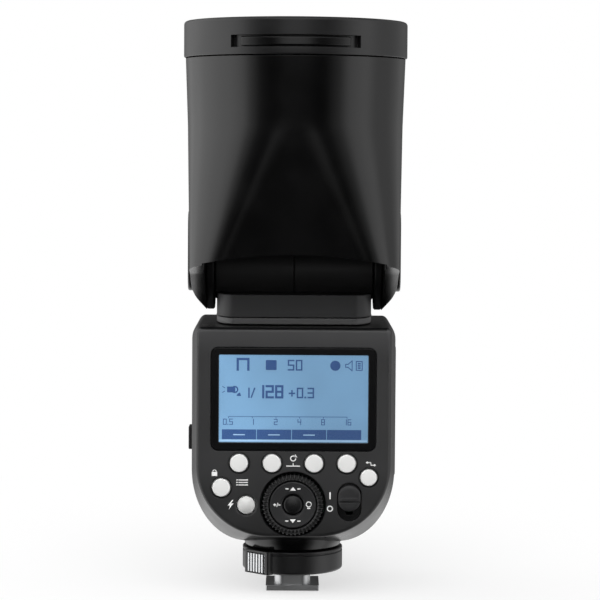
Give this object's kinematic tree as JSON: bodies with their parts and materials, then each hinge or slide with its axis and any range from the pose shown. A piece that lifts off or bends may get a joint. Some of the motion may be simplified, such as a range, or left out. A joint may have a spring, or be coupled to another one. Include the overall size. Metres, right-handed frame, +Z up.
{
  "type": "speedlight flash",
  "caption": "Shoe-mounted camera flash with a round zooming head that tilts and swivels, a rear display with dial and buttons, side battery and quick-lock foot.",
  "frame": {"origin": "centre of the shoe plate's underside, on the foot's vertical axis", "axes": "+Z up along the upright head, -Y towards the person who reads the display, +X towards the battery side"},
  "size_m": [0.076, 0.093, 0.1973],
  "materials": {
    "satin_black": "satin, fine moulded grain",
    "matte_black": "matte, fine texture",
    "soft_black": "matte",
    "button_grey": "matte",
    "plated_steel": "brushed",
    "chrome": "polished",
    "circuit_board": "satin",
    "clear_window": "polished",
    "display": "backlit liquid crystal",
    "red_window": "polished",
    "mirror_bowl": "polished",
    "battery_case": "matte"
  },
  "bodies": {
    "body_shell": {"rear_cover": "matte_black", "front_cover": "satin_black", "af_assist_window": "red_window", "lcd_window": "clear_window", "lcd_module": "display", "control_board": "circuit_board", "main_board": "circuit_board", "main_capacitor": "soft_black", "swivel_bearing_ring": "plated_steel", "usb_socket": "plated_steel", "sync_jack": "plated_steel", "foot_collar": "satin_black", "shoe_foot": "plated_steel"},
    "battery": {"battery_pack": "battery_case", "battery_end_cap": "satin_black"},
    "battery_latch": {"battery_latch": "matte_black"},
    "port_door": {"port_door": "soft_black"},
    "function_button_1": {"function_button_1": "button_grey"},
    "function_button_2": {"function_button_2": "button_grey"},
    "function_button_3": {"function_button_3": "button_grey"},
    "function_button_4": {"function_button_4": "button_grey"},
    "sync_button": {"sync_button": "button_grey"},
    "menu_button": {"menu_button": "button_grey"},
    "test_button": {"test_button": "button_grey"},
    "dial": {"dial_ring": "satin_black"},
    "pad_gimbal": {"pad_gimbal": "plated_steel"},
    "four_way_pad": {"four_way_pad": "matte_black"},
    "set_button": {"set_button": "satin_black"},
    "power_switch": {"power_switch": "satin_black"},
    "lock_ring": {"lock_ring": "satin_black"},
    "release_button": {"release_button": "chrome"},
    "lock_pin": {"lock_pin": "plated_steel"},
    "contact_pin_1": {"contact_pin_1": "chrome"},
    "contact_pin_2": {"contact_pin_2": "chrome"},
    "contact_pin_3": {"contact_pin_3": "chrome"},
    "contact_pin_4": {"contact_pin_4": "chrome"},
    "contact_pin_5": {"contact_pin_5": "chrome"},
    "neck": {"neck_base_plate": "satin_black", "neck_block": "matte_black", "hinge_barrel_left": "soft_black", "hinge_barrel_right": "soft_black", "swivel_tube": "plated_steel"},
    "head": {"head_housing": "satin_black", "side_cap_left": "satin_black", "side_cap_right": "satin_black", "tilt_hub_left": "soft_black", "tilt_hub_right": "soft_black", "tilt_axle": "plated_steel", "rim_ring": "matte_black", "rim_catch_bar": "satin_black", "front_lens": "clear_window", "zoom_motor": "plated_steel", "zoom_guide_rod": "plated_steel", "trigger_coil": "soft_black"},
    "zoom_carriage": {"zoom_carriage": "satin_black", "reflector": "mirror_bowl", "flash_tube": "clear_window", "modeling_led": "clear_window"},
    "zoom_lead_screw": {"zoom_lead_screw": "plated_steel"}
  },
  "joints": [
    {"name": "head_swivel", "type": "hinge", "parent": "body_shell", "child": "neck", "pos_m": [0, 0.004, 0.0937], "axis": [0, 0, 1], "range_deg": [-165, 165]},
    {"name": "head_tilt", "type": "hinge", "parent": "neck", "child": "head", "pos_m": [0, 0.004, 0.112], "axis": [1, 0, 0], "range_deg": [-97, 30]},
    {"name": "zoom_travel", "type": "slide", "parent": "head", "child": "zoom_carriage", "axis": [0, 0, 1], "range_m": [-0.014, 0]},
    {"name": "zoom_screw_turn", "type": "hinge", "parent": "head", "child": "zoom_lead_screw", "pos_m": [0.0275, -0.017, 0.1444], "axis": [0, 0, 1], "range_deg": [-631, 0]},
    {"name": "battery_slide", "type": "slide", "parent": "body_shell", "child": "battery", "axis": [1, 0, 0], "range_m": [0, 0.062]},
    {"name": "battery_latch_press", "type": "slide", "parent": "battery", "child": "battery_latch", "axis": [-1, 0, 0], "range_m": [0, 0.0008]},
    {"name": "port_door_hinge", "type": "hinge", "parent": "body_shell", "child": "port_door", "pos_m": [-0.0353, 0, 0.049], "axis": [0, 0, 1], "range_deg": [0, 110]},
    {"name": "function_button_1_press", "type": "slide", "parent": "body_shell", "child": "function_button_1", "axis": [0, 1, 0], "range_m": [0, 0.0005]},
    {"name": "function_button_2_press", "type": "slide", "parent": "body_shell", "child": "function_button_2", "axis": [0, 1, 0], "range_m": [0, 0.0005]},
    {"name": "function_button_3_press", "type": "slide", "parent": "body_shell", "child": "function_button_3", "axis": [0, 1, 0], "range_m": [0, 0.0005]},
    {"name": "function_button_4_press", "type": "slide", "parent": "body_shell", "child": "function_button_4", "axis": [0, 1, 0], "range_m": [0, 0.0005]},
    {"name": "sync_button_press", "type": "slide", "parent": "body_shell", "child": "sync_button", "axis": [0, 1, 0], "range_m": [0, 0.0005]},
    {"name": "menu_button_press", "type": "slide", "parent": "body_shell", "child": "menu_button", "axis": [0, 1, 0], "range_m": [0, 0.0005]},
    {"name": "test_button_press", "type": "slide", "parent": "body_shell", "child": "test_button", "axis": [0, 1, 0], "range_m": [0, 0.0005]},
    {"name": "dial_turn", "type": "hinge", "parent": "body_shell", "child": "dial", "pos_m": [0, -0.028, 0.033], "axis": [0, 1, 0], "continuous": true},
    {"name": "pad_rock_sideways", "type": "hinge", "parent": "body_shell", "child": "pad_gimbal", "pos_m": [0, -0.0262, 0.033], "axis": [0, 0, 1], "range_deg": [-2, 2]},
    {"name": "pad_rock_up_down", "type": "hinge", "parent": "pad_gimbal", "child": "four_way_pad", "pos_m": [0, -0.0262, 0.033], "axis": [1, 0, 0], "range_deg": [-2, 2]},
    {"name": "set_button_press", "type": "slide", "parent": "body_shell", "child": "set_button", "axis": [0, 1, 0], "range_m": [0, 0.0005]},
    {"name": "power_switch_slide", "type": "slide", "parent": "body_shell", "child": "power_switch", "axis": [0, 0, -1], "range_m": [0, 0.0028]},
    {"name": "lock_ring_turn", "type": "hinge", "parent": "body_shell", "child": "lock_ring", "pos_m": [0, 0, 0.0107], "axis": [0, 0, 1], "range_deg": [0, 60]},
    {"name": "release_button_press", "type": "slide", "parent": "lock_ring", "child": "release_button", "axis": [0.682, 0.7314, 0], "range_m": [0, 0.0015]},
    {"name": "lock_pin_drop", "type": "slide", "parent": "body_shell", "child": "lock_pin", "axis": [0, 0, -1], "range_m": [0, 0.0016]},
    {"name": "contact_pin_1_spring", "type": "slide", "parent": "body_shell", "child": "contact_pin_1", "axis": [0, 0, 1], "range_m": [0, 0.0005]},
    {"name": "contact_pin_2_spring", "type": "slide", "parent": "body_shell", "child": "contact_pin_2", "axis": [0, 0, 1], "range_m": [0, 0.0005]},
    {"name": "contact_pin_3_spring", "type": "slide", "parent": "body_shell", "child": "contact_pin_3", "axis": [0, 0, 1], "range_m": [0, 0.0005]},
    {"name": "contact_pin_4_spring", "type": "slide", "parent": "body_shell", "child": "contact_pin_4", "axis": [0, 0, 1], "range_m": [0, 0.0005]},
    {"name": "contact_pin_5_spring", "type": "slide", "parent": "body_shell", "child": "contact_pin_5", "axis": [0, 0, 1], "range_m": [0, 0.0005]}
  ],
  "couplings": [
    {"joint": "zoom_screw_turn", "follows": "zoom_travel", "rad_per_m": 785.4},
    {"joint": "lock_pin_drop", "follows": "lock_ring_turn", "m_per_rad": 0.0014324}
  ]
}
